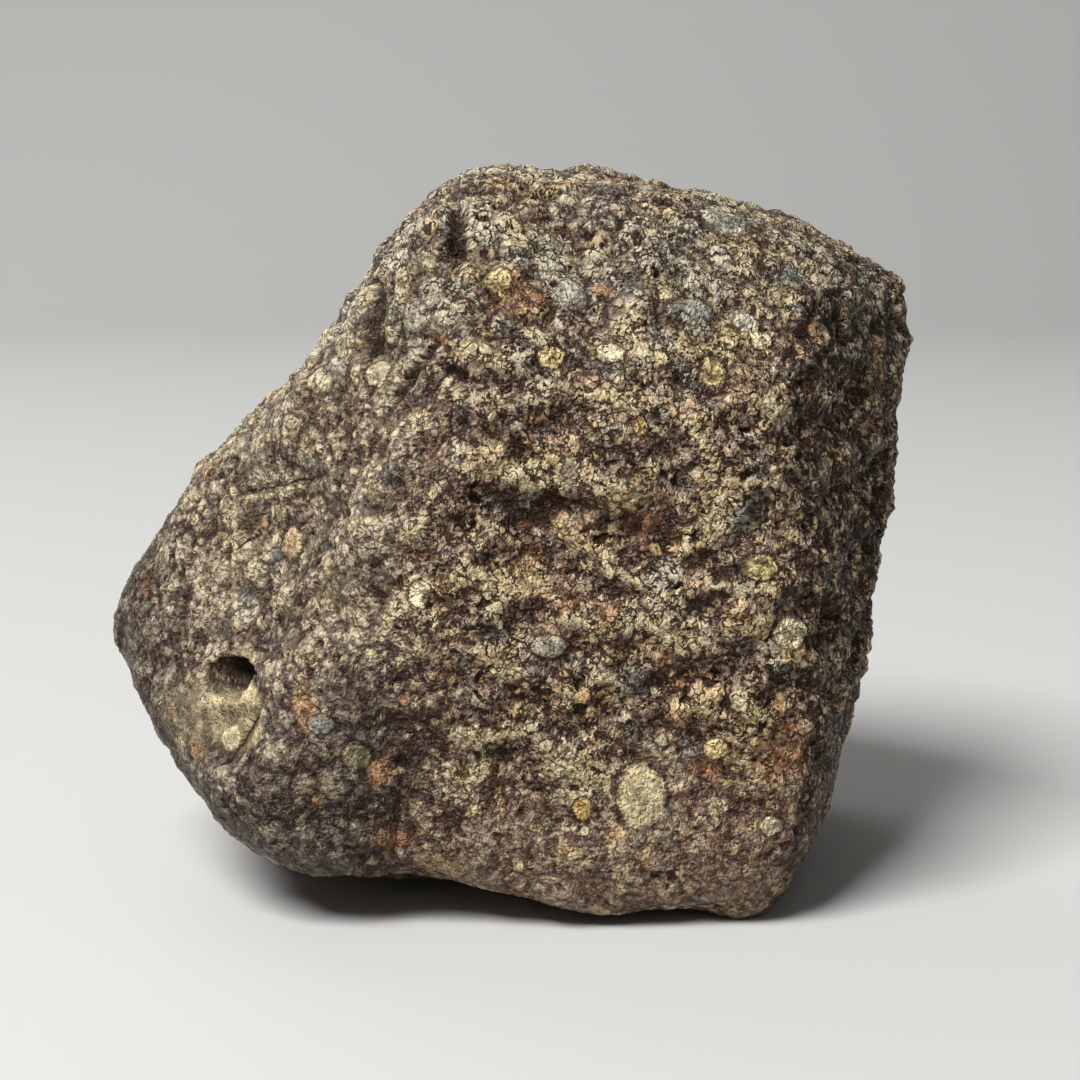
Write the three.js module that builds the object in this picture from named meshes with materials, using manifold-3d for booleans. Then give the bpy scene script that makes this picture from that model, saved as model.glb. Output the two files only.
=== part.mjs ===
// Chondrite meteorite: one weathered stone, a rounded block about 53 mm across that rests on a
// small flat spot. Millimetres, +Z up, front towards -Y, origin where it rests, under its middle.

import * as THREE from "three";
import Module from "manifold-3d";
import { ImprovedNoise } from "three/addons/math/ImprovedNoise.js";
import { mergeVertices } from "three/addons/utils/BufferGeometryUtils.js";

// ---- Driving dimensions ----
const STONE_HEIGHT = 46;
const MIDDLE = new THREE.Vector3(0, 0, STONE_HEIGHT / 2 - 1); // directions and distances start here
const EDGE_SHARPNESS = 20; // exponent of the facets' blend: higher leaves sharper edges
const BLOCK_DETAIL = 20; // 20 * (detail + 1)^2 triangles

// A place on the stone is a direction from its middle: [bearing, pitch] in degrees. A bearing is
// seen from above: 0 faces the front, 90 the right, 180 the back, 270 the left. Pitch is up.

// The faces that broke or melted off, as planes square to a direction.
const FACETS = {
  front: { towards: [2, -1], distance: 18.6 },
  brow: { towards: [8, 38], distance: 22.2 },
  crown: { towards: [270, 81], distance: 24.0 },
  top_slope: { towards: [74, 72], distance: 24.1 },
  right: { towards: [62, 4], distance: 24.1 },
  right_low: { towards: [82, -16], distance: 24.7 },
  left: { towards: [313, 14], distance: 20.0 },
  left_tip: { towards: [268, 16], distance: 27.3 },
  upper_left: { towards: [266, 39], distance: 17.0 },
  lower_left: { towards: [284, -39], distance: 26.1 },
  left_corner: { towards: [266, -20], distance: 26.8 },
  front_keel: { towards: [345, -60], distance: 25.8 },
  underside: { towards: [305, -83], distance: 22.45 },
  underside_back: { towards: [165, -82], distance: 23.6 },
  back: { towards: [182, 6], distance: 19.5 },
  back_left: { towards: [232, -6], distance: 22.5 },
  back_right: { towards: [136, 10], distance: 23.2 },
  back_top: { towards: [195, 48], distance: 23.8 },
  back_low: { towards: [170, -46], distance: 25.0 },
};

// Scoops, grooves and swellings. Each fades out at its radius from a point, or from the line
// between two places; a positive depth goes in and a negative one stands proud.
const FORMS = {
  left_scoop: { from: [318, 2], to: [328, 30], radius: 13, depth: 2.6 },
  shoulder_groove: { from: [340, 37], to: [331, 46], radius: 2.6, depth: 0.6 },
  front_hollow: { from: [4, 4], to: [6, 10], radius: 6, depth: 0.9 },
  front_dip: { from: [24, 2], to: [40, 5], radius: 6, depth: 0.6 },
  rib_left: { from: [348, 2], to: [358, 5], radius: 2.6, depth: -0.4 },
  rib_middle: { from: [8, 14], to: [24, 21], radius: 2.6, depth: -0.4 },
  rib_right: { from: [32, -4], to: [50, 1], radius: 2.6, depth: -0.4 },
  crown_step: { from: [40, 76], to: [17, 54], radius: 3, depth: 1.0 },
  knob: { from: [266, 8], to: [284, -10], radius: 7.5, depth: -0.6 },
  bottom_nick: { from: [339, -38], to: [340, -48], radius: 2.4, depth: 0.6 },
  undercut: { from: [336, -52], to: [4, -56], radius: 7, depth: 0.9 },
  right_scoop: { from: [98, 14], to: [96, -10], radius: 8, depth: 1.3 },
  right_rib: { from: [104, 24], to: [112, -18], radius: 4, depth: -0.7 },
  crown_dish: { from: [200, 74], to: [120, 66], radius: 9, depth: 0.9 },
  back_scoop: { from: [176, 10], to: [196, 24], radius: 13, depth: 2.0 },
  back_thumbprint: { from: [150, -16], to: [160, -22], radius: 9, depth: 1.5 },
  back_rib: { from: [205, -14], to: [222, 18], radius: 5, depth: -0.8 },
  back_spall: { from: [222, -30], to: [236, -26], radius: 7, depth: 1.4 },
};

// Hollows with crisp rims, cut as lumpy squashed balls. Each opens towards a direction at its place;
// sunk is how far the ball's middle lies below the surface there, so a positive one undercuts its rim.
const CUTS = {
  pit: { at: [309.5, -19], opens: [322, -16], width: 4.8, height: 2.3, depth: 4.4, sunk: 0.7 },
  pale_chip: { at: [312, -23], opens: [316, 2], width: 13, height: 5.8, depth: 7, sunk: -2.2 },
};
const CUT_DETAIL = 3;
const CUT_LUMPS = { size: 0.9, height: 0.15 }; // in radii of the ball

// Undulation over the whole surface: the wavelength of each layer and how far it moves the surface.
const UNDULATION = [
  { wavelength: 12, height: 1.0 },
  { wavelength: 6, height: 0.6 },
  { wavelength: 3.2, height: 0.4 },
];

// ---- The facetted block ----
function direction([bearing, pitch]) {
  const b = THREE.MathUtils.degToRad(bearing);
  const p = THREE.MathUtils.degToRad(pitch);
  return new THREE.Vector3(Math.sin(b) * Math.cos(p), -Math.cos(b) * Math.cos(p), Math.sin(p));
}

const planes = Object.values(FACETS).map(({ towards, distance }) => ({
  normal: direction(towards),
  distance,
}));

// Distance from the middle to the block's surface along a unit direction.
function blockRadius(along) {
  let sum = 0;
  for (const { normal, distance } of planes) {
    sum += Math.max(0, along.dot(normal) / distance) ** EDGE_SHARPNESS;
  }
  return sum ** (-1 / EDGE_SHARPNESS);
}

function onBlock(along) {
  return MIDDLE.clone().addScaledVector(along, blockRadius(along));
}

// ---- What weather and breakage did to it ----
const forms = Object.values(FORMS).map(({ from, to = from, radius, depth }) => ({
  line: new THREE.Line3(onBlock(direction(from)), onBlock(direction(to))),
  radius,
  depth,
}));

function formDepth(point) {
  const nearest = new THREE.Vector3();
  let total = 0;
  for (const { line, radius, depth } of forms) {
    const apart = line.closestPointToPoint(point, true, nearest).distanceTo(point) / radius;
    if (apart < 1) total += depth * (1 - apart ** 2) ** 2;
  }
  return total;
}

const noise = new ImprovedNoise();

function undulation(point) {
  let total = 0;
  for (const { wavelength, height } of UNDULATION) {
    total += height * noise.noise(point.x / wavelength, point.y / wavelength, point.z / wavelength);
  }
  return total;
}

// The weathered surface along a unit direction. Everything lower than the table is worn flat.
function onStone(along) {
  const point = onBlock(along);
  point.addScaledVector(along, undulation(point) - formDepth(point));
  return point.setZ(Math.max(0, point.z));
}

// ---- Meshes ----
function ballGeometry(detail) {
  const ball = new THREE.IcosahedronGeometry(1, detail);
  ball.deleteAttribute("normal");
  ball.deleteAttribute("uv");
  return mergeVertices(ball);
}

function blockGeometry() {
  const geometry = ballGeometry(BLOCK_DETAIL);
  const position = geometry.attributes.position;
  for (let i = 0; i < position.count; i++) {
    const point = onStone(new THREE.Vector3().fromBufferAttribute(position, i).normalize());
    position.setXYZ(i, point.x, point.y, point.z);
  }
  return geometry;
}

function lumpyBallGeometry() {
  const geometry = ballGeometry(CUT_DETAIL);
  const position = geometry.attributes.position;
  const { size, height } = CUT_LUMPS;
  for (let i = 0; i < position.count; i++) {
    const point = new THREE.Vector3().fromBufferAttribute(position, i);
    point.multiplyScalar(1 + height * noise.noise(point.x / size, point.y / size, point.z / size));
    position.setXYZ(i, point.x, point.y, point.z);
  }
  return geometry;
}

function cutGeometry({ at, opens, width, height, depth, sunk }) {
  const outward = direction(opens);
  const turn = new THREE.Matrix4().lookAt(outward, new THREE.Vector3(), new THREE.Vector3(0, 0, 1));
  const middle = onStone(direction(at)).addScaledVector(outward, -sunk);
  return lumpyBallGeometry()
    .scale(width / 2, height / 2, depth / 2)
    .applyMatrix4(turn)
    .translate(middle.x, middle.y, middle.z);
}

// ---- Cutting the hollows ----
const wasm = await Module();
wasm.setup();

function solid(geometry) {
  const vertProperties = new Float32Array(geometry.attributes.position.array);
  const triVerts = new Uint32Array(geometry.index.array);
  return new wasm.Manifold(new wasm.Mesh({ numProp: 3, vertProperties, triVerts }));
}

function geometryOf(manifold) {
  const { vertProperties, triVerts } = manifold.getMesh();
  const geometry = new THREE.BufferGeometry();
  geometry.setAttribute("position", new THREE.BufferAttribute(vertProperties, 3));
  geometry.setIndex(new THREE.BufferAttribute(triVerts, 1));
  return geometry;
}

function stoneGeometry() {
  let stone = solid(blockGeometry());
  for (const cut of Object.values(CUTS)) stone = stone.subtract(solid(cutGeometry(cut)));
  const geometry = geometryOf(stone);
  geometry.computeBoundingBox();
  const centre = geometry.boundingBox.getCenter(new THREE.Vector3());
  geometry.translate(-centre.x, -centre.y, 0); // the origin is under the middle of the stone's box
  geometry.computeVertexNormals();
  return geometry;
}

const stone = new THREE.Mesh(
  stoneGeometry(),
  new THREE.MeshStandardMaterial({ color: 0x6f6050, roughness: 0.6, metalness: 0 }),
);
stone.name = "stone";

const meteorite = new THREE.Group();
meteorite.add(stone);
export default meteorite;
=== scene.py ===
"""Chondrite meteorite: one weathered stone on a plain pale floor. Metres, +Z up, front towards -Y."""

import bmesh
import bpy
import numpy as np
from math import cos, pi, radians, sin
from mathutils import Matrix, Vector
from types import SimpleNamespace


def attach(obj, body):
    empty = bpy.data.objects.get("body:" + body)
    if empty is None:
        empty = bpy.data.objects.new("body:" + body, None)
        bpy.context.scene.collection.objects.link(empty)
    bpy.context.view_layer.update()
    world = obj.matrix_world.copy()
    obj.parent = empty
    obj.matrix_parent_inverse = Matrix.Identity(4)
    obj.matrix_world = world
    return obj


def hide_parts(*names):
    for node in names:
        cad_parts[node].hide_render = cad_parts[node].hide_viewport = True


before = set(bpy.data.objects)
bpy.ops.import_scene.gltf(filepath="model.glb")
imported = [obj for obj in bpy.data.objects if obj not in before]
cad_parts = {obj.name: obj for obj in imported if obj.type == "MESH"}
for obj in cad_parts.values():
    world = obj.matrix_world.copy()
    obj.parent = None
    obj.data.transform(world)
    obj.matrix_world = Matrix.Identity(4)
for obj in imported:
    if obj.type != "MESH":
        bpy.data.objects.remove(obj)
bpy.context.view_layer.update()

# ---- The studio ----
# A sheet of pale card that curves up behind the stone, one broad softbox in front on the left,
# a weaker one high behind, and a camera a hand's length away, a little above the stone.

EYE = Vector((0.0018, -0.15805, 0.0461))
LOOKS_AT = Vector((0.0018, -0.0020, 0.0214))
LENS, SENSOR = 80, 36  # mm
CARD_HALF = 1.2  # its width, and how far it reaches in front of the stone
CARD_TOP = 1.4
SWEEP_STARTS = 0.5  # how far behind the stone the card starts to curve up
SWEEP_RADIUS = 0.4
SWEEP_STEPS = 16
CARD_COLOUR = (0.50, 0.50, 0.49, 1)
ROOM_COLOUR, ROOM_STRENGTH = (1.0, 0.98, 0.95, 1), 0.17
SOFTBOXES = {
    # name: (place, side, watts)
    "key": ((-0.33, -0.45, 0.75), 0.40, 14.5),
    "back": ((-0.30, 0.45, 0.50), 0.40, 1.0),
}


def studio_camera():
    camera = bpy.data.objects.new("camera", bpy.data.cameras.new("camera"))
    camera.data.lens = LENS
    camera.data.sensor_width = SENSOR
    camera.data.clip_start = 0.01
    camera.location = EYE
    camera.rotation_euler = (LOOKS_AT - EYE).to_track_quat("-Z", "Y").to_euler()
    bpy.context.scene.collection.objects.link(camera)
    bpy.context.scene.camera = camera


def softbox(name, place, side, watts):
    lamp = bpy.data.objects.new(name, bpy.data.lights.new(name, "AREA"))
    lamp.data.size = side
    lamp.data.energy = watts
    lamp.location = place
    lamp.rotation_euler = (LOOKS_AT - Vector(place)).to_track_quat("-Z", "Y").to_euler()
    bpy.context.scene.collection.objects.link(lamp)


def card_floor():
    """The card's profile, from in front of the stone to the top behind it, drawn out sideways."""
    profile = [(-CARD_HALF, 0.0), (SWEEP_STARTS, 0.0)]
    for step in range(1, SWEEP_STEPS + 1):
        turn = pi / 2 * step / SWEEP_STEPS
        profile.append((SWEEP_STARTS + SWEEP_RADIUS * sin(turn), SWEEP_RADIUS * (1 - cos(turn))))
    profile.append((SWEEP_STARTS + SWEEP_RADIUS, CARD_TOP))
    points = [(x, y, z) for x in (-CARD_HALF, CARD_HALF) for y, z in profile]
    n = len(profile)
    faces = [(i, i + 1, n + i + 1, n + i) for i in range(n - 1)]
    mesh = bpy.data.meshes.new("card_floor")
    mesh.from_pydata(points, [], [face[::-1] for face in faces])
    mesh.shade_smooth()
    return mesh


def card_paint():
    paint = bpy.data.materials.new("pale_card")
    paint.use_nodes = True
    shader = paint.node_tree.nodes["Principled BSDF"]
    shader.inputs["Base Color"].default_value = CARD_COLOUR
    shader.inputs["Roughness"].default_value = 0.7
    return paint


def room():
    world = bpy.data.worlds.new("room")
    world.use_nodes = True
    light = world.node_tree.nodes["Background"]
    light.inputs["Color"].default_value = ROOM_COLOUR
    light.inputs["Strength"].default_value = ROOM_STRENGTH
    return world


studio_camera()
for name, (place, side, watts) in SOFTBOXES.items():
    softbox(name, place, side, watts)

card = bpy.data.objects.new("card_floor", card_floor())
card.data.materials.append(card_paint())
bpy.context.scene.collection.objects.link(card)

bpy.context.scene.world = room()
bpy.context.scene.view_settings.view_transform = "Standard"

# ---- The stone ----
# One lump of ordinary chondrite: dark brown, iron-stained ground packed with rounded grains and
# clasts of pale silicate. Wind, rust and handling have left the hard grains standing proud, scooped
# out the broad faces and worn the lower corners smooth.

VOXEL = 0.00018  # the stone's skin before its relief
CORNER_GAP = 1e-6  # corners of the solid's triangles as near as this are one
SKIN_SMOOTHING = 14  # passes that take the facets off it
MOST_TRIANGLES = 196_000
SIDE_FILLS = 0.94  # how much of its part of the unwrapped square each side of the skin fills

# Millimetres, from here on.
SIZES = {
    "Scallop Size": 3.5,
    "Scallop Depth": 0.75,
    "Clast Size": 1.7,
    "Clast Relief": 0.26,
    "Grain Size": 0.54,
    "Grain Relief": 0.14,
}
CRUMB_SIZE = 0.23
CRACK_DEPTH, CRACK_WIDTH = 0.2, 0.8
INLAY_PROUD = 0.12  # how far the clasts that stand out are raised
PITTING = {"Distance": 0.0003, "Strength": 1.0}  # metres
MIDDLE = Vector((-0.4, 0.0, 22.0))  # of the stone

# Between which limits each zone of wear comes in or fades out.
BROW_RISES = (31.5, 37.5)  # up from the floor
FOOT_FADES = (5.0, 14.0)
LEFT_FACE = (-0.77, -0.62, 0.14)  # the way the scooped left face looks
LEFT_FACE_RISES = (14.0, 17.0)  # out along that way
LOW_LEFT_RISES, LOW_LEFT_FADES = (10.0, 14.0), (12.0, 18.0)  # out along it, and up
LEFT_END_FADES, LEFT_END_TOP = (-23.5, -19.5), (24.0, 29.0)  # sideways, and up
# Painted shade on the right face, which is turned from the key light.
PAINTED_RIGHT_SHADE_RISES = (0.48, 0.70)  # by how far it looks right, of 1
UNDERSIDE_FADES = (-0.45, -0.15)  # and up
AROUND, FAR_AROUND, FACE_WIDE = 5, 40, 30  # passes of blur over the skin
LAYERS = (1.0, 1.0, 1.5)  # the scallops and the cream seams are wider than high
LOST_GRAINS = (0.98, 0.985)  # of each grain's random value: past them it has dropped out

# A place on the stone is the way to it from its middle: degrees round from the front towards the
# right, and degrees up. Widths and heights are the mark's own.

# Clasts and chondrules that stand out: place, width, height, colour.
OLIVE, CREAM, YELLOW = (0.36, 0.31, 0.17), (0.62, 0.53, 0.34), (0.62, 0.49, 0.21)
AMBER, PINK = (0.46, 0.29, 0.10), (0.44, 0.29, 0.17)
GREY, BLUE_GREY = (0.36, 0.34, 0.27), (0.22, 0.23, 0.20)
INLAYS = {
    "great chondrule": ((23.7, -33.1), 3.2, 4.0, (0.40, 0.33, 0.19)),
    "amber grain": ((14, -36), 1.1, 1.6, AMBER),
    "brow yellow": ((359, 47), 1.8, 1.5, YELLOW),
    "under brow yellow": ((9, 35), 1.9, 1.5, YELLOW),
    "right brow cream": ((36, 29), 1.8, 2.2, YELLOW),
    "ridge yellow": ((39, 1), 2.3, 1.6, YELLOW),
    "left front cream": ((346, -3), 1.5, 1.7, CREAM),
    "shoulder cream": ((334, 34), 2.0, 1.6, CREAM),
    "low right cream": ((34, -25), 1.6, 1.5, YELLOW),
    "right cream": ((43, -8), 2.4, 1.9, CREAM),
    "low corner cream": ((41, -32), 1.6, 1.3, CREAM),
    "low left olive": ((336, -27), 1.8, 1.8, OLIVE),
    "mid brow cream": ((20, 35), 1.8, 1.3, CREAM),
    "right brow small": ((45, 32), 1.4, 1.3, CREAM),
    "brow grey": ((14, 45), 2.3, 2.0, GREY),
    "brow long grey": ((36, 39), 3.0, 1.5, BLUE_GREY),
    "brow great grey": ((55, 51), 3.4, 2.8, GREY),
    "right brow grey": ((44, 35), 1.7, 1.3, GREY),
    "corner blue": ((56, 39), 1.8, 2.2, BLUE_GREY),
    "low left blue": ((331, -22), 1.8, 1.3, BLUE_GREY),
    "ringed": ((8, -12), 2.3, 1.5, GREY),
    "left pink": ((315, 3), 2.0, 2.2, PINK),
    "front amber": ((23, 23), 0.9, 1.5, AMBER),
    "right face olive": ((53, 13), 2.2, 2.2, OLIVE),
    "chip cream": ((313.4, -25.2), 2.0, 1.7, (0.84, 0.73, 0.45)),
}
FINE_GRAINED = ("great chondrule", "amber grain")  # of these
# Rust that bled out of iron grains: place, width, height.
STAINS = {
    "low right": ((43, -23), 4.5, 5.0),
    "low right inner": ((33, -28), 3.5, 2.5),
    "low middle": ((2, -23), 3.2, 2.0),
    "low front": ((29, -22), 2.0, 1.6),
    "brow": ((6, 44), 2.6, 1.6),
    "under brow": ((359, 30), 2.8, 2.2),
    "left front": ((346, 4), 1.8, 1.8),
    "right corner": ((56, 31), 1.8, 2.2),
    "left edge": ((328, -19), 2.6, 4.6),
    "low left": ((330, -31), 1.8, 1.8),
    "low left inner": ((339, -30), 2.0, 2.0),
    "shoulder": ((348, 38), 1.5, 1.3),
    "brow spot": ((21, 45), 1.6, 1.4),
    "foot": ((340, -39), 3.0, 2.2),
    "chip left": ((301, -23), 2.2, 2.6),
    "chip low": ((308, -26), 2.2, 1.8),
    "top left": ((354, 67), 4.0, 2.0),
    "top middle": ((52, 70), 3.5, 2.0),
}
# Deeper hollows and grooves, sunk by their depth and painted dark as painted shade: from one place to
# another, width, depth.
HOLLOWS = {
    "front": ((3, 11), (7, 12), 3.2, 0.5),
    "right front": ((26, 6), (28, 6), 1.7, 0.3),
    "over ridge": ((20, 16), (23, 16), 1.3, 0.3),
    "upper front": ((2, 21), (5, 21), 1.4, 0.3),
    "right": ((34, 0), (37, 0), 1.7, 0.3),
    "arch": ((349, 34), (353, 32.5), 0.8, 0.4),
    "crease": ((346, 38), (339.5, 30), 1.1, 0.5),
    "shoulder slot": ((347.5, 59), (349.5, 52), 1.4, 0.8),
    "shoulder notch": ((327, 51), (330.5, 39.5), 3.2, 0.9),
    "shoulder edge": ((321, 61), (327, 52), 1.6, 0.5),
    "crown notch": ((340, 75), (325, 72), 1.6, 0.9),
    "brow pore": ((31.5, 51), (31.5, 52.5), 0.8, 0.6),
    "brow pore left": ((23, 56), (23, 56.5), 0.7, 0.5),
    "brow pore low": ((11, 47), (11, 47.5), 0.7, 0.5),
    "pit": ((308, -18.5), (311, -18.5), 3.8, 0.0),
}
# Hairline cracks: place, length, the way the crack runs over the face, in degrees from level.
CRACKS = {
    "foot": ((341, -38), 4.2, 84),
    "front": ((350.4, 26), 3.8, 88),
    "shoulder": ((348, 31), 4.5, 52),
    "chip edge": ((317, -24), 5.5, 55),
    "brow": ((31, 42), 3.5, 70),
    "left face": ((312, 14), 9.0, 16),
    "left face low": ((306, 4), 5.0, 40),
    "left face high": ((322, 22), 5.5, 64),
    "brow left": ((2, 52), 4.0, 20),
}
# Where the stone is bare of its skin: place, width, height, how bare, and between which parts of the
# way to its edge that fades.
BARE = {
    "pale chip": ((314, -22.5), 6.6, 5.0, 1.0, 0.75, 1.0),
    "pit": ((310, -18.5), 4.4, 3.0, 1.0, 0.8, 1.1),
    "scuff beside the chip": ((303.5, -22.5), 7.0, 5.4, 0.6, 0.4, 1.2),
}
OFF_THE_MARK = 9.0  # how far a spot lies from a mark that doesn't reach it

# How each kind of stone looks from its darkest crumbs to its palest: how pale, and the colour.
BROWN_GROUND = (
    (0.08, (0.028, 0.011, 0.006)),
    (0.30, (0.092, 0.050, 0.037)),
    (0.50, (0.175, 0.114, 0.087)),
    (0.70, (0.290, 0.210, 0.143)),
    (0.95, (0.45, 0.36, 0.245)),
)
CREAM_SILICATE = (
    (0.08, (0.060, 0.034, 0.014)),
    (0.30, (0.190, 0.130, 0.060)),
    (0.50, (0.380, 0.290, 0.143)),
    (0.70, (0.565, 0.460, 0.245)),
    (0.95, (0.65, 0.560, 0.345)),
)
GREY_SILICATE = (
    (0.08, (0.012, 0.009, 0.007)),
    (0.30, (0.064, 0.055, 0.046)),
    (0.50, (0.160, 0.143, 0.112)),
    (0.70, (0.315, 0.285, 0.215)),
    (0.95, (0.52, 0.475, 0.355)),
)
RUST = (
    (0.15, (0.050, 0.018, 0.010)),
    (0.50, (0.24, 0.095, 0.045)),
    (0.85, (0.56, 0.30, 0.14)),
)
REDDENED = (1.08, 0.90, 0.80, 1)  # times the colour
IRON = (0.045, 0.050, 0.055)
CHIP_DULL, CHIP_BRIGHT = (0.42, 0.32, 0.165, 1), (0.74, 0.63, 0.38, 1)
# The dark of the joints and cracks, and the painted shade in the hollows.
JOINT_AND_SHADE_DARK = (0.018, 0.008, 0.005, 1)
SHEEN = (1.0, 0.86, 0.70, 1)

CENTRED = (-0.5, -0.5, -0.5)  # takes a random vector of 0 to 1 to one round zero
FAR_OFF = (31.0, 0.0, 0.0)  # far enough off for the random lumps to be others


def live(sockets, name):
    """The socket of this name that is in use, of those that a node has for each kind of value."""
    return [socket for socket in sockets if socket.name == name and socket.enabled][0]


class Wiring:
    """A node tree being wired. Each call adds a node, feeds it and gives its output."""

    def __init__(self, tree):
        self.tree = tree

    def add(self, kind, feeds=None, out=0, **settings):
        node = self.tree.nodes.new(kind)
        for name, value in settings.items():
            setattr(node, name, value)
        for name, value in (feeds or {}).items():
            self.feed(node.inputs[name], value)
        return node.outputs[out]

    def feed(self, socket, value):
        if isinstance(value, bpy.types.NodeSocket):
            self.tree.links.new(value, socket)
        else:
            socket.default_value = value

    def math(self, operation, a, b=0.0):
        return self.add("ShaderNodeMath", {0: a, 1: b}, operation=operation)

    def times(self, a, b):
        return self.math("MULTIPLY", a, b)

    def plus(self, a, b):
        return self.math("ADD", a, b)

    def minus(self, a, b):
        return self.math("SUBTRACT", a, b)

    def size_of(self, a):
        return self.math("ABSOLUTE", a)

    def most(self, *values):
        result = values[0]
        for value in values[1:]:
            result = self.math("MAXIMUM", result, value)
        return result

    def total(self, *terms):
        """The sum of (amount, value) pairs and plain values."""
        result = 0.0
        for term in terms:
            result = self.plus(result, self.times(*term) if isinstance(term, tuple) else term)
        return result

    def shift(self, a, b):
        return self.add("ShaderNodeVectorMath", {0: a, 1: b}, operation="ADD")

    def apart(self, a, b):
        return self.add("ShaderNodeVectorMath", {0: a, 1: b}, operation="SUBTRACT")

    def along(self, a, b):
        """How far one vector reaches along another."""
        return self.add("ShaderNodeVectorMath", {0: a, 1: b}, out="Value", operation="DOT_PRODUCT")

    def stretch(self, a, by):
        return self.add("ShaderNodeVectorMath", {0: a, "Scale": by}, operation="SCALE")

    def ease(self, value, low, high, start=0.0, end=1.0):
        """From start to end, smoothly, as a value goes from low to high."""
        feeds = {"Value": value, "From Min": low, "From Max": high, "To Min": start, "To Max": end}
        return self.add("ShaderNodeMapRange", feeds, interpolation_type="SMOOTHSTEP")

    def blend(self, factor, a, b, how="MIX"):
        feeds = {0: factor, 6: a, 7: b}  # the node's sockets for colours
        return self.add("ShaderNodeMix", feeds, out=2, data_type="RGBA", blend_type=how)

    def between(self, factor, a, b):
        return self.add("ShaderNodeMix", {0: factor, 2: a, 3: b}, data_type="FLOAT")

    def cloud(self, place, size, detail=1.0, out="Fac"):
        """Soft random lumps about size millimetres across, 0 to 1."""
        feeds = {"Vector": place, "Scale": 1 / size, "Detail": detail}
        return self.add("ShaderNodeTexNoise", feeds, out=out)

    def drift(self, place, size, detail):
        """The same lumps, round zero."""
        return self.minus(self.cloud(place, size, detail), 0.5)

    def sway(self, place, size, by):
        """A soft random vector that changes over size millimetres, to push a place about by."""
        lumps = self.shift(self.cloud(place, size, 1.0, out="Color"), CENTRED)
        return self.stretch(lumps, by)

    def cells(self, place, size):
        """Packed cells about size millimetres across: how far a spot is from its cell's middle, and
        each cell's random vector."""
        scale = self.math("DIVIDE", 1.0, size)
        reach = self.add("ShaderNodeTexVoronoi", {"Vector": place, "Scale": scale})
        return reach, reach.node.outputs["Color"]

    def parts(self, vector):
        node = self.add("ShaderNodeSeparateXYZ", {0: vector}).node
        return node.outputs[0], node.outputs[1], node.outputs[2]

    def pick(self, value, stops):
        """The colour at a value from 0 to 1 between (value, colour) stops."""
        colour = self.add("ShaderNodeValToRGB", {"Fac": value})
        elements = colour.node.color_ramp.elements
        while len(elements) < len(stops):
            elements.new(0.5)
        for element, (at, rgb) in zip(elements, stops):
            element.position = at
            element.color = (*rgb, 1)
        return colour

    # What only a skin's geometry can do, and how its material reads the result.

    def blurred(self, vector, passes):
        """A vector of the skin averaged with its neighbours."""
        feeds = {"Iterations": passes}
        node = self.add("GeometryNodeBlurAttribute", feeds, data_type="FLOAT_VECTOR").node
        self.feed(live(node.inputs, "Value"), vector)
        return live(node.outputs, "Value")

    def write(self, skin, name, value, kind="FLOAT"):
        """Writes a value down at each point of the skin."""
        feeds = {"Geometry": skin, "Name": name}
        skin = self.add("GeometryNodeStoreNamedAttribute", feeds, data_type=kind)
        self.feed(live(skin.node.inputs, "Value"), value)
        return skin

    def marked(self, name):
        """What the marks wrote down, for the geometry."""
        return self.add("GeometryNodeInputNamedAttribute", {"Name": name}, data_type="FLOAT")

    def written(self, name, out="Fac"):
        """What is written down on the skin, for the material."""
        return self.add("ShaderNodeAttribute", out=out, attribute_name=name)


FLOAT, VECTOR, GEOMETRY = "NodeSocketFloat", "NodeSocketVector", "NodeSocketGeometry"


def new_group(name, kind, takes, gives):
    """An empty node group with its wiring, its inputs and its outputs."""
    group = bpy.data.node_groups.new(name, kind)
    for socket, socket_type in takes.items():
        group.interface.new_socket(name=socket, in_out="INPUT", socket_type=socket_type)
    for socket, socket_type in gives.items():
        group.interface.new_socket(name=socket, in_out="OUTPUT", socket_type=socket_type)
    entry = group.nodes.new("NodeGroupInput")
    leave = group.nodes.new("NodeGroupOutput")
    return group, Wiring(group), entry.outputs, leave.inputs


PACKED_SIZES = ("Clast Size", "Grain Size")


def packing(kind):
    """Where each clast and grain lies. Geometry raises them and the material colours them, so the
    same group is made for both."""
    takes = {"Place": VECTOR, "Pushed": VECTOR, **{name: FLOAT for name in PACKED_SIZES}}
    gives = {
        "Clast Reach": FLOAT,
        "Clast": VECTOR,
        "Grain Reach": FLOAT,
        "Grain": VECTOR,
        "Jitter": VECTOR,
    }
    group, w, given, result = new_group("Packed Clasts And Grains", kind, takes, gives)
    jitter = w.sway(given["Place"], 0.4, 0.5)
    clasts = w.cells(given["Pushed"], given["Clast Size"])
    grains = w.cells(w.shift(given["Pushed"], jitter), given["Grain Size"])
    for name, socket in zip(gives, (*clasts, *grains, jitter)):
        w.feed(result[name], socket)
    return group


ZONES = ("brow", "flank", "rubbed", "dark_skin", "worn", "polish")


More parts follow.
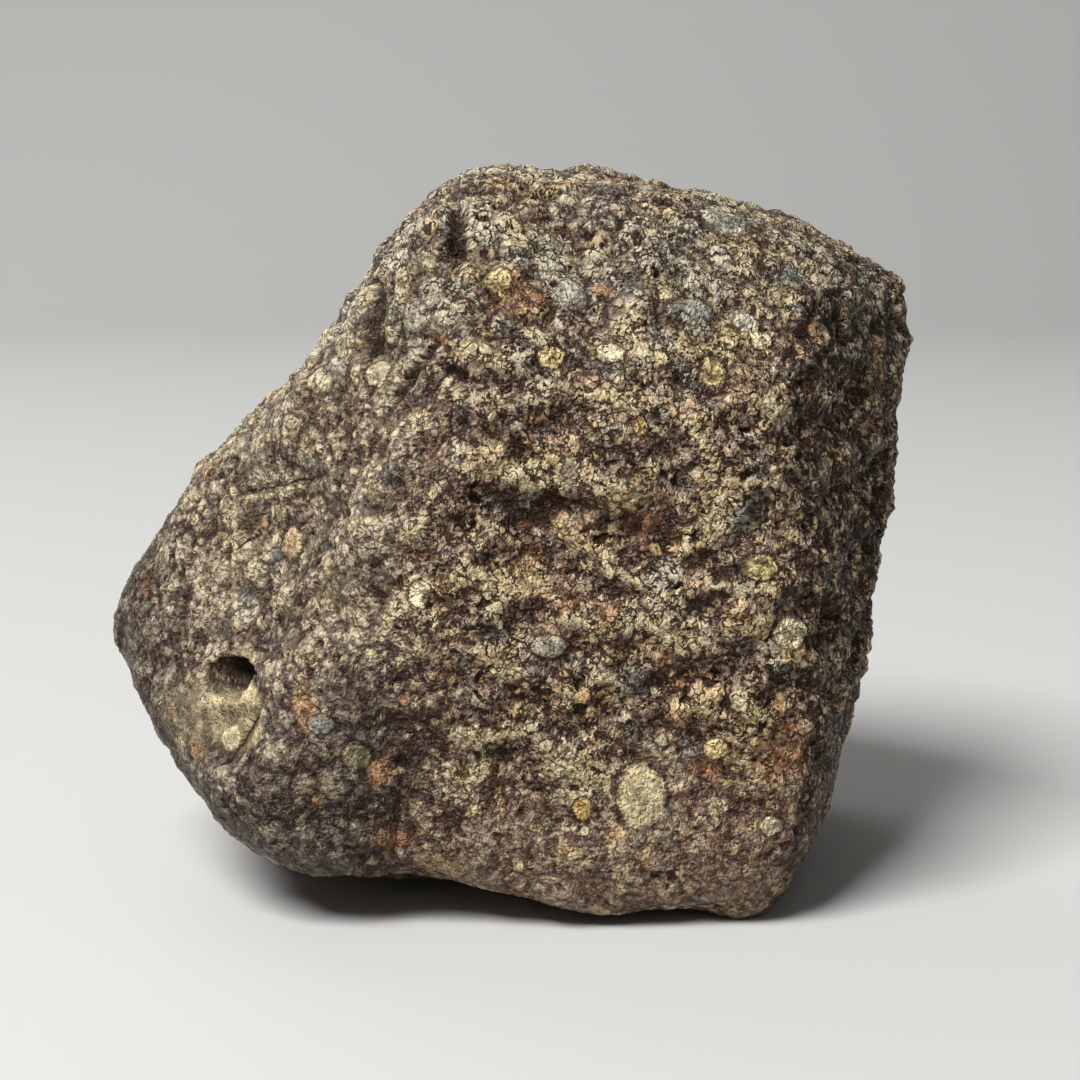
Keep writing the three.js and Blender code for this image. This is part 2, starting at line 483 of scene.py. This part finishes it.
def wear_zones(w, place, normal):
    """How far each spot belongs to the brow and top, the worn foot, the scooped left face, the left
    end and low left that handling has rubbed smooth, the right face that is turned from the key light
    and gets painted shade, and what else looks down and is worn."""
    zone = SimpleNamespace(drift=w.drift(place, 9.0, 2.0))
    height = w.plus(w.parts(place)[2], w.times(zone.drift, 14.0))
    zone.brow = w.ease(height, *BROW_RISES)
    foot = w.ease(height, *FOOT_FADES, 1.0, 0.0)
    from_middle = w.apart(place, MIDDLE)
    leftness = w.plus(w.along(from_middle, LEFT_FACE), w.times(zone.drift, 8.0))
    zone.flank = w.ease(leftness, *LEFT_FACE_RISES)
    left_end = w.ease(w.parts(from_middle)[0], *LEFT_END_FADES, 1.0, 0.0)
    left_end = w.times(left_end, w.ease(height, *LEFT_END_TOP, 1.0, 0.0))
    low_left = w.ease(leftness, *LOW_LEFT_RISES)
    low_left = w.times(low_left, w.ease(height, *LOW_LEFT_FADES, 1.0, 0.0))
    zone.rubbed = w.most(left_end, low_left)
    looks_right, _, looks_up = w.parts(w.blurred(normal, FACE_WIDE))
    # The right face gets painted shade: darker and greyer.
    zone.dark_skin = w.ease(w.plus(looks_right, w.times(zone.drift, 0.4)), *PAINTED_RIGHT_SHADE_RISES)
    looks_down = w.ease(w.plus(looks_up, w.times(zone.drift, 0.8)), *UNDERSIDE_FADES, 1.0, 0.0)
    zone.worn = w.most(looks_down, w.times(w.most(foot, zone.rubbed), 0.75))
    zone.polish = w.most(zone.worn, w.total((zone.brow, 0.4), (zone.flank, 0.5)))
    zone.quiet = w.most(zone.brow, zone.worn, foot, zone.flank)
    return zone


def scallops(w, given, place, layered, zone):
    """Shallow hollows, wider than high, that meet in sharp ridges: their relief, and how far each
    spot lies on a ridge."""
    off_middle, _ = w.cells(w.shift(layered, w.sway(place, 2.6, 2.4)), given["Scallop Size"])
    depth = w.times(given["Scallop Depth"], w.between(zone.quiet, 1.0, 0.25))
    ridge = w.times(w.ease(off_middle, 0.52, 0.82), w.between(zone.quiet, 1.0, 0.25))
    return w.times(w.ease(off_middle, 0.05, 0.85, -0.5, 0.5), depth), ridge


def clasts_and_grains(w, given, place, pushed, zone):
    """The relief of the clasts, rounded stones, some sunk and some proud, with grooves between them,
    and of the grains, the coarse sand that everything is made of. A few grains have dropped out and
    left pores."""
    feeds = {"Place": place, "Pushed": pushed, **{name: given[name] for name in PACKED_SIZES}}
    packed = w.add("GeometryNodeGroup", feeds, node_tree=packing("GeometryNodeTree")).node.outputs
    dome = w.ease(packed["Clast Reach"], 0.25, 0.75, 0.5, -0.5)
    sunk_or_proud = w.minus(w.parts(packed["Clast"])[0], 0.5)
    clast_relief = w.total(0.4, (zone.brow, 0.65), (zone.worn, -0.25), (zone.flank, 0.2))
    clast_relief = w.times(clast_relief, w.plus(1.0, w.times(zone.drift, 2.2)))
    clasts = w.times(w.times(w.plus(dome, sunk_or_proud), clast_relief), given["Clast Relief"])
    grain_dome = w.ease(packed["Grain Reach"], 0.2, 0.7, 0.5, -0.5)
    grain_r, _, grain_b = w.parts(packed["Grain"])
    lost = w.ease(w.plus(grain_b, w.times(zone.brow, 0.01)), *LOST_GRAINS)
    grain_height = w.total(grain_dome, grain_r, -0.5, (lost, -2.0))
    grains = w.times(w.times(grain_height, w.between(zone.polish, 1.0, 0.4)), given["Grain Relief"])
    return clasts, grains


def relief_tree(material):
    """Raises scallops, clasts and grains along the skin's normals, and writes down where each part
    of the skin lies, what wore it, and where painted shade and highlight go. What would sink below
    the floor stays on it."""
    takes = {"Geometry": GEOMETRY, **{name: FLOAT for name in SIZES}}
    group, w, given, result = new_group(
        "Weathered Relief", "GeometryNodeTree", takes, {"Geometry": GEOMETRY}
    )
    position = w.add("GeometryNodeInputPosition")
    normal = w.add("GeometryNodeInputNormal")
    place = w.stretch(position, 1000.0)  # in millimetres
    layered = w.add("ShaderNodeVectorMath", {0: place, 1: LAYERS}, operation="MULTIPLY")
    pushed = w.shift(place, w.sway(place, 1.9, 1.1))
    zone = wear_zones(w, place, normal)
    scooped, ridge = scallops(w, given, place, layered, zone)
    clasts, grains = clasts_and_grains(w, given, place, pushed, zone)

    # The marks' own relief. Inside the chip, the pit and the clasts that stand out it is smoother.
    rough = w.times(w.total(scooped, clasts, grains), w.between(w.marked("bare"), 1.0, 0.3))
    rough = w.times(rough, w.ease(w.marked("inlay"), 0.8, 1.2, 0.4, 1.0))
    lift = w.times(w.plus(rough, w.marked("mark_lift")), 0.001)
    x, y, z = w.parts(w.shift(position, w.stretch(normal, lift)))
    landed = w.add("ShaderNodeCombineXYZ", {0: x, 1: y, 2: w.most(z, 0.0)})

    skin = given["Geometry"]
    for name in ZONES:
        skin = w.write(skin, name, getattr(zone, name))
    for name, value in {
        "ridge": ridge,
        "patch": w.drift(place, 3.0, 3.0),
        "seam": w.size_of(w.drift(layered, 2.4, 2.0)),
        "rust": w.cloud(place, 4.5, 4.0),
        "iron": w.cloud(w.shift(place, FAR_OFF), 2.2, 1.0),
        "ragged": w.drift(place, 0.7, 2.0),
        "wander": w.drift(place, 1.2, 3.0),
    }.items():
        skin = w.write(skin, name, value)
    skin = w.write(skin, "ground", place, "FLOAT_VECTOR")
    skin = w.write(skin, "pushed", pushed, "FLOAT_VECTOR")
    skin = w.add("GeometryNodeSetPosition", {"Geometry": skin, "Position": landed})

    # How far each spot of the raised skin looks up more than its surroundings do, and how far it
    # stands out of them. The material paints spots that look up paler, a painted highlight of the
    # light from above; what stands out it makes paler and the recesses darker, partly as rubbing and
    # partly as painted shade.
    looks_up, around_looks_up = (w.parts(w.blurred(normal, n))[2] for n in (AROUND, FAR_AROUND))
    skin = w.write(skin, "tip", w.minus(looks_up, around_looks_up))
    # Stands out of its surroundings: paler where proud and darker in recesses, partly rubbing and
    # partly painted shade.
    proud = w.along(w.apart(position, w.blurred(position, AROUND)), normal)
    skin = w.write(skin, "proud", w.times(proud, 1000.0))
    skin = w.add("GeometryNodeRealizeInstances", {"Geometry": skin})
    skin = w.add("GeometryNodeSetMaterial", {"Geometry": skin, "Material": material})
    w.feed(result["Geometry"], skin)
    return group


def what_lies_here(w):
    """What is written down at a spot, and the clast, the grain and the crumb that it belongs to. Each
    of these has three random values of its own, from 0 to 1."""
    here = SimpleNamespace(place=w.written("ground", "Vector"))
    marks = ("inlay", "stain", "hollow", "bare", "crack", "crack_off")
    lumps = ("ridge", "tip", "patch", "seam", "rust", "iron", "ragged", "wander")
    for name in ZONES + marks + lumps:
        setattr(here, name, w.written(name))
    here.proud = w.ease(w.written("proud"), -0.07, 0.09, -0.5, 0.5)
    feeds = {"Place": here.place, "Pushed": w.written("pushed", "Vector")}
    feeds.update({name: SIZES[name] for name in PACKED_SIZES})
    packed = w.add("ShaderNodeGroup", feeds, node_tree=packing("ShaderNodeTree")).node.outputs
    here.clast_reach, here.grain_reach = packed["Clast Reach"], packed["Grain Reach"]
    here.clast_r, here.clast_g, here.clast_b = w.parts(packed["Clast"])
    here.grain = packed["Grain"]
    here.grain_r, here.grain_g, here.grain_b = w.parts(here.grain)
    _, here.crumb = w.cells(w.shift(here.place, packed["Jitter"]), CRUMB_SIZE)
    here.crumb_r, here.crumb_g, here.crumb_b = w.parts(here.crumb)

    # Nuggets: the grains and clasts that stand highest, of cream silicate.
    here.cream_grain = w.ease(here.grain_r, 0.80, 0.83)
    grain_top = w.ease(here.grain_reach, 0.45, 0.75, 1.0, 0.0)
    clast_top = w.ease(here.clast_reach, 0.48, 0.60, 1.0, 0.0)
    cream_clast = w.times(w.ease(here.clast_r, 0.84, 0.86), clast_top)
    here.nugget = w.most(w.times(here.cream_grain, grain_top), w.times(cream_clast, 0.8))
    return here


def how_pale(w, here):
    """Crumbs, grains and clasts each have a say. What stands proud is rubbed pale, partly as a
    painted highlight against painted shade in the recesses; spots that look up get a painted
    highlight, and the right face and the hollows get painted shade.
    """
    crumb_say = w.total(0.85, (here.polish, -0.40), (here.flank, -0.15), (here.bare, -0.3))
    grain_say = w.total(0.36, (here.polish, -0.20), (here.bare, -0.2))
    clast_say = w.total(0.20, (here.brow, 0.14), (here.flank, 0.04), (here.worn, -0.12))
    return w.total(
        0.63,
        w.times(w.minus(here.crumb_r, 0.5), crumb_say),
        w.times(w.ease(here.grain_g, 0.45, 0.95, -0.3, 0.7), grain_say),
        w.times(w.ease(here.clast_g, 0.3, 0.8, -0.5, 0.5), clast_say),
        (here.patch, 0.14),
        w.times(here.nugget, w.total(0.14, (here.flank, -0.08))),
        # Paler where it stands out, darker in recesses: partly rubbing, partly painted shade.
        (here.proud, 0.36),
        # A painted highlight where the skin looks up more than around it.
        (here.tip, 0.35),
        (w.minus(here.ridge, 0.35), 0.16),
        (here.brow, 0.10),
        (here.flank, 0.04),
        (here.worn, -0.02),
        (here.rubbed, -0.28),
        # Painted shade on the right face.
        (here.dark_skin, -0.27),
        # Painted shade in the hollows and the pit.
        (here.hollow, -0.40),
    )


def silicates(w, here, pale):
    """The brown ground, with cream in the nuggets and in seams along the rims of the scallops, and
    the grey and the reddened clasts. The cream leans to spots that look up, which is painted
    highlight."""
    brow_cream = w.times(here.brow, w.ease(here.clast_b, 0.25, 0.45, 1.0, 0.0))
    seam_lie = w.total(
        (here.seam, -2.4),
        (here.ridge, 0.7),
        # Spots that look up lean to cream: painted highlight.
        (here.tip, 0.45),
        (here.patch, 0.3),
        (w.minus(here.crumb_g, 0.5), 0.25),
        (brow_cream, 0.3),
        (here.worn, -0.15),
        (here.dark_skin, -0.10),
        -0.10,
    )
    cream = w.most(w.ease(seam_lie, -0.10, 0.08), here.nugget)
    cream = w.times(cream, w.between(here.worn, 0.74, 0.40))
    colour = w.blend(cream, w.pick(pale, BROWN_GROUND), w.pick(w.plus(pale, 0.08), CREAM_SILICATE))
    grey = w.ease(w.total(here.clast_b, (here.brow, 0.4), (here.hollow, 0.4)), 0.82, 1.0, 0.0, 0.8)
    # The painted shade on the right face also turns it greyer.
    greyed = w.total((here.brow, 0.2), (here.flank, 0.3), (here.dark_skin, 0.4), (here.rubbed, 0.35))
    grey = w.most(grey, greyed)
    colour = w.blend(grey, colour, w.pick(pale, GREY_SILICATE))
    red_say = w.total(
        (here.grain_r, 0.5),
        (here.clast_r, 0.5),
        (here.flank, -0.3),
        (here.brow, -0.15),
        (here.rubbed, -0.3),
    )
    return w.blend(w.ease(red_say, 0.5, 0.9), colour, REDDENED, how="MULTIPLY")


def iron_and_rust(w, here, pale, colour):
    """Iron grains, blue-black, and the rust that bled out of them."""
    iron = w.ease(w.total(here.iron, (w.minus(here.crumb_b, 0.5), 0.08)), 0.66, 0.70, 0.0, 0.65)
    iron = w.times(iron, w.between(here.worn, 1.0, 0.2))
    colour = w.blend(iron, colour, w.stretch(IRON, w.ease(pale, 0.1, 1.0, 0.3, 3.0)))
    rust_lie = w.total(
        here.rust, (w.minus(here.grain_b, 0.5), 0.12), (here.stain, 0.26), (here.flank, -0.04)
    )
    rust_pale = w.total((here.crumb_r, 0.5), (here.grain_r, 0.5), (here.stain, 0.15))
    rust = w.times(w.ease(rust_lie, 0.60, 0.72), 0.6)
    return w.blend(rust, colour, w.pick(rust_pale, RUST))


def dark_joints(w, here):
    """How dark a spot is for the joints round the clasts and grains, hairlines, and the pores of
    lost grains."""
    groove_say = w.total(0.4, (here.polish, 0.7), (here.worn, -0.7), (here.flank, 0.2))
    groove = w.ease(here.clast_reach, 0.55, 0.68)
    groove = w.times(groove, w.ease(here.clast_reach, 0.70, 0.82, 1.0, 0.35))
    grain_joint = w.times(w.ease(here.grain_reach, 0.55, 0.8), w.between(here.cream_grain, 0.4, 0.75))
    hairline = w.ease(w.size_of(w.drift(here.place, 0.8, 3.0)), 0.015, 0.045, 0.95, 0.0)
    pore = w.ease(here.grain_b, *LOST_GRAINS, 0.0, 0.95)
    joint = w.most(w.times(groove, groove_say), grain_joint, hairline, pore)
    return w.times(joint, w.total(1.0, (here.worn, -0.35), (here.flank, -0.25), (here.bare, -0.5)))


def with_marks(w, here, pale, colour, joint):
    """The pale chip, the clasts that stand out, the painted shade in the hollows and the cracks. The
    clasts are speckled as the rest is, the fine-grained ones less, with a paler rim and a dark joint."""
    speckle = w.ease(pale, 0.1, 1.0, 0.3, 1.5)
    chip = w.times(here.bare, w.between(here.hollow, 1.0, 0.0))
    chip = w.times(chip, w.between(here.stain, 0.85, 0.3))
    chip_colour = w.blend(w.plus(0.5, w.times(here.patch, 3.0)), CHIP_DULL, CHIP_BRIGHT)
    colour = w.blend(chip, colour, w.stretch(chip_colour, speckle))

    edge = w.plus(here.inlay, w.times(here.ragged, 1.1))
    calm = w.written("inlay_colour", "Alpha")
    inlay = w.times(w.ease(edge, 0.75, 1.0, 1.0, 0.0), w.between(calm, 0.72, 0.88))
    rim = w.ease(edge, 0.50, 0.80, 1.0, 1.25)
    faint = w.between(calm, speckle, w.ease(pale, 0.1, 1.0, 0.5, 1.4))
    inlay_colour = w.stretch(w.written("inlay_colour", "Color"), w.times(faint, rim))
    colour = w.blend(inlay, colour, inlay_colour)
    outline = w.times(w.ease(edge, 0.92, 1.0), w.ease(edge, 1.05, 1.25, 0.75, 0.0))
    outline = w.times(outline, w.between(here.bare, 1.0, 0.1))
    joint = w.times(joint, w.minus(1.0, w.times(inlay, w.between(calm, 0.35, 0.9))))

    off_line = w.size_of(w.plus(here.crack_off, w.times(here.wander, 0.9)))
    crack = w.times(w.ease(off_line, 0.03, 0.11, 1.0, 0.0), here.crack)
    # The hollows darken as painted shade, with the real joints, outlines and cracks.
    joint = w.most(joint, outline, w.times(here.hollow, 0.5), w.times(crack, 0.9))
    return w.blend(joint, colour, JOINT_AND_SHADE_DARK)


def stone_material():
    material = bpy.data.materials.new("weathered_chondrite")
    material.use_nodes = True
    shader = material.node_tree.nodes["Principled BSDF"].inputs
    w = Wiring(material.node_tree)
    here = what_lies_here(w)
    pale = how_pale(w, here)
    colour = iron_and_rust(w, here, pale, silicates(w, here, pale))
    colour = with_marks(w, here, pale, colour, dark_joints(w, here))
    w.feed(shader["Base Color"], colour)

    # Each crumb is a broken face turned its own way. The smoothest of them glint.
    rough = w.minus(w.ease(here.crumb_b, 0.80, 0.92, 0.58, 0.28), w.times(here.polish, 0.10))
    w.feed(shader["Roughness"], rough)
    w.feed(shader["Specular IOR Level"], 0.20)
    w.feed(shader["Specular Tint"], SHEEN)
    crumb_turn = w.stretch(w.shift(here.crumb, CENTRED), w.between(here.polish, 0.9, 0.5))
    grain_turn = w.stretch(w.shift(here.grain, CENTRED), 0.4)
    normal = w.add("ShaderNodeNewGeometry", out="Normal")
    normal = w.shift(normal, w.shift(crumb_turn, grain_turn))
    normal = w.add("ShaderNodeVectorMath", {0: normal}, operation="NORMALIZE")
    pitted = {"Height": w.cloud(here.place, 0.2, 1.0), "Normal": normal, **PITTING}
    w.feed(shader["Normal"], w.add("ShaderNodeBump", pitted))
    return material


def merged_copy(mesh):
    """A copy of a solid's loose triangles, joined at their corners."""
    copy = mesh.copy()
    joined = bmesh.new()
    joined.from_mesh(copy)
    bmesh.ops.remove_doubles(joined, verts=joined.verts, dist=CORNER_GAP)
    joined.to_mesh(copy)
    joined.free()
    return copy


def read(elements, name, width, kind=np.float32):
    """One value of each vertex, face or corner, in rows of this width."""
    values = np.empty(len(elements) * width, kind)
    elements.foreach_get(name, values)
    return values.reshape(-1, width) if width > 1 else values


def way(bearing, pitch):
    """The unit vector to a place on the stone."""
    b, p = radians(bearing), radians(pitch)
    return Vector((sin(b) * cos(p), -cos(b) * cos(p), sin(p)))


def fade(value, full, gone):
    """1 at full and beyond, falling smoothly to 0 at gone."""
    t = np.clip((value - gone) / (full - gone), 0, 1)
    return t * t * (3 - 2 * t)


class Skin:
    """The points of the stone's skin, in millimetres, and how far they lie from a mark."""

    def __init__(self, obj):
        self.obj = obj
        self.points = read(obj.data.vertices, "co", 3) * 1000

    def spot(self, place):
        """The point of the skin at a place."""
        return np.array(self.obj.ray_cast(MIDDLE / 1000, way(*place))[1]) * 1000

    def reach(self, place, width, height):
        """How far each point lies from a mark's middle: 1 on its edge."""
        off = (self.points - self.spot(place)) / (width / 2, width / 2, height / 2)
        return np.linalg.norm(off, axis=1)

    def beside(self, start, end):
        """How far each point lies from the line between two places."""
        first = self.spot(start)
        along = self.spot(end) - first
        part = np.clip((self.points - first) @ along / (along @ along), 0, 1)
        return np.linalg.norm(self.points - first - part[:, None] * along, axis=1)

    def crack(self, place, length, lean):
        """How much each point belongs to a crack, and how far it lies to the side of it."""
        middle = self.spot(place)
        outward = np.array(way(*place))
        level = np.cross((0, 0, 1), outward)
        level /= np.linalg.norm(level)
        along = level * cos(radians(lean)) + np.cross(outward, level) * sin(radians(lean))
        off = self.points - middle
        within = fade(np.linalg.norm(off, axis=1), full=length * 0.42, gone=length * 0.5)
        return within, off @ np.cross(outward, along)


def write_marks(skin):
    """Writes down on the skin where each clast, stain, hollow and crack lies."""
    zero = np.zeros(len(skin.points))
    inlay, stain, hollow, lift = zero + OFF_THE_MARK, zero, zero, zero
    colours = np.zeros((len(skin.points), 4))
    for name, (place, width, height, colour) in INLAYS.items():
        away = skin.reach(place, width, height)
        colours[away < inlay] = (*colour, name in FINE_GRAINED)
        inlay = np.minimum(inlay, away)
        lift = lift + INLAY_PROUD * fade(away, full=0.7, gone=1.0)
    for mark in STAINS.values():
        stain = np.maximum(stain, fade(skin.reach(*mark), full=0.3, gone=1.3))
    for start, end, width, depth in HOLLOWS.values():
        inside = fade(skin.beside(start, end) / (width / 2), full=0.2, gone=1.2)
        hollow = np.maximum(hollow, inside)
        lift = lift - depth * inside
    crack, crack_off = zero, zero + OFF_THE_MARK
    for mark in CRACKS.values():
        within, off_line = skin.crack(*mark)
        crack_off = np.where(within > crack, off_line, crack_off)
        crack = np.maximum(crack, within)
    slit = crack * fade(np.abs(crack_off), full=0.0, gone=CRACK_WIDTH / 2)
    lift = lift - CRACK_DEPTH * slit
    bare = zero
    for place, width, height, how_bare, full, gone in BARE.values():
        bare = np.maximum(bare, how_bare * fade(skin.reach(place, width, height), full, gone))
    marks = {
        "inlay": inlay,
        "stain": stain,
        "hollow": hollow,
        "mark_lift": lift,
        "crack": crack,
        "crack_off": crack_off,
        "bare": bare,
    }
    attributes = skin.obj.data.attributes
    for name, values in marks.items():
        layer = attributes.new(name, "FLOAT", "POINT")
        layer.data.foreach_set("value", values.astype(np.float32))
    layer = attributes.new("inlay_colour", "FLOAT_COLOR", "POINT")
    layer.data.foreach_set("color", colours.astype(np.float32).ravel())


def settle(obj):
    """Makes the object's modifiers part of its mesh."""
    graph = bpy.context.evaluated_depsgraph_get()
    mesh = bpy.data.meshes.new_from_object(obj.evaluated_get(graph))
    obj.modifiers.clear()
    obj.data = mesh


def unwrap(mesh):
    """Unwraps the skin onto the six sides of a cube round its middle, laid out three by two."""
    middle = np.array(MIDDLE) / 1000
    outward = read(mesh.vertices, "co", 3) - middle
    centres = read(mesh.polygons, "center", 3) - middle
    corners = read(mesh.loops, "vertex_index", 1, np.int32)
    per_face = read(mesh.polygons, "loop_total", 1, np.int32)
    face_axis = np.abs(centres).argmax(axis=1)
    towards = np.sign(np.take_along_axis(centres, face_axis[:, None], 1)[:, 0])
    axis, sign = np.repeat(face_axis, per_face), np.repeat(towards, per_face)
    ray = outward[corners]
    deep = np.abs(np.take_along_axis(ray, axis[:, None], 1)[:, 0])
    across = np.take_along_axis(ray, ((axis + 1) % 3)[:, None], 1)[:, 0] / deep * sign
    up = np.take_along_axis(ray, ((axis + 2) % 3)[:, None], 1)[:, 0] / deep
    u = (axis + 0.5 + SIDE_FILLS / 2 * np.arctan(across) / (pi / 4)) / 3
    v = ((sign > 0) + 0.5 + SIDE_FILLS / 2 * np.arctan(up) / (pi / 4)) / 2
    layer = mesh.uv_layers.new(name="OFBake")
    layer.data.foreach_set("uv", np.stack([u, v], axis=1).astype(np.float32).ravel())


def triangle_count(mesh):
    return sum(len(face.vertices) - 2 for face in mesh.polygons)


stone = bpy.data.objects.new("weathered_stone", merged_copy(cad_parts["stone"].data))
bpy.context.scene.collection.objects.link(stone)
even_skin = stone.modifiers.new("even skin", "REMESH")
even_skin.mode = "VOXEL"
even_skin.voxel_size = VOXEL * 1
facets_off = stone.modifiers.new("facets off", "SMOOTH")
facets_off.factor = 0.5
facets_off.iterations = SKIN_SMOOTHING
settle(stone)
write_marks(Skin(stone))
relief = stone.modifiers.new("relief", "NODES")
relief.node_group = relief_tree(stone_material())
for socket in relief.node_group.interface.items_tree:
    if socket.name in SIZES:
        relief[socket.identifier] = SIZES[socket.name]
settle(stone)
thin_out = stone.modifiers.new("thin out", "DECIMATE")
thin_out.ratio = min(1.0, MOST_TRIANGLES / triangle_count(stone.data))
settle(stone)
stone.data.shade_smooth()
unwrap(stone.data)
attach(stone, "root")
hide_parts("stone")
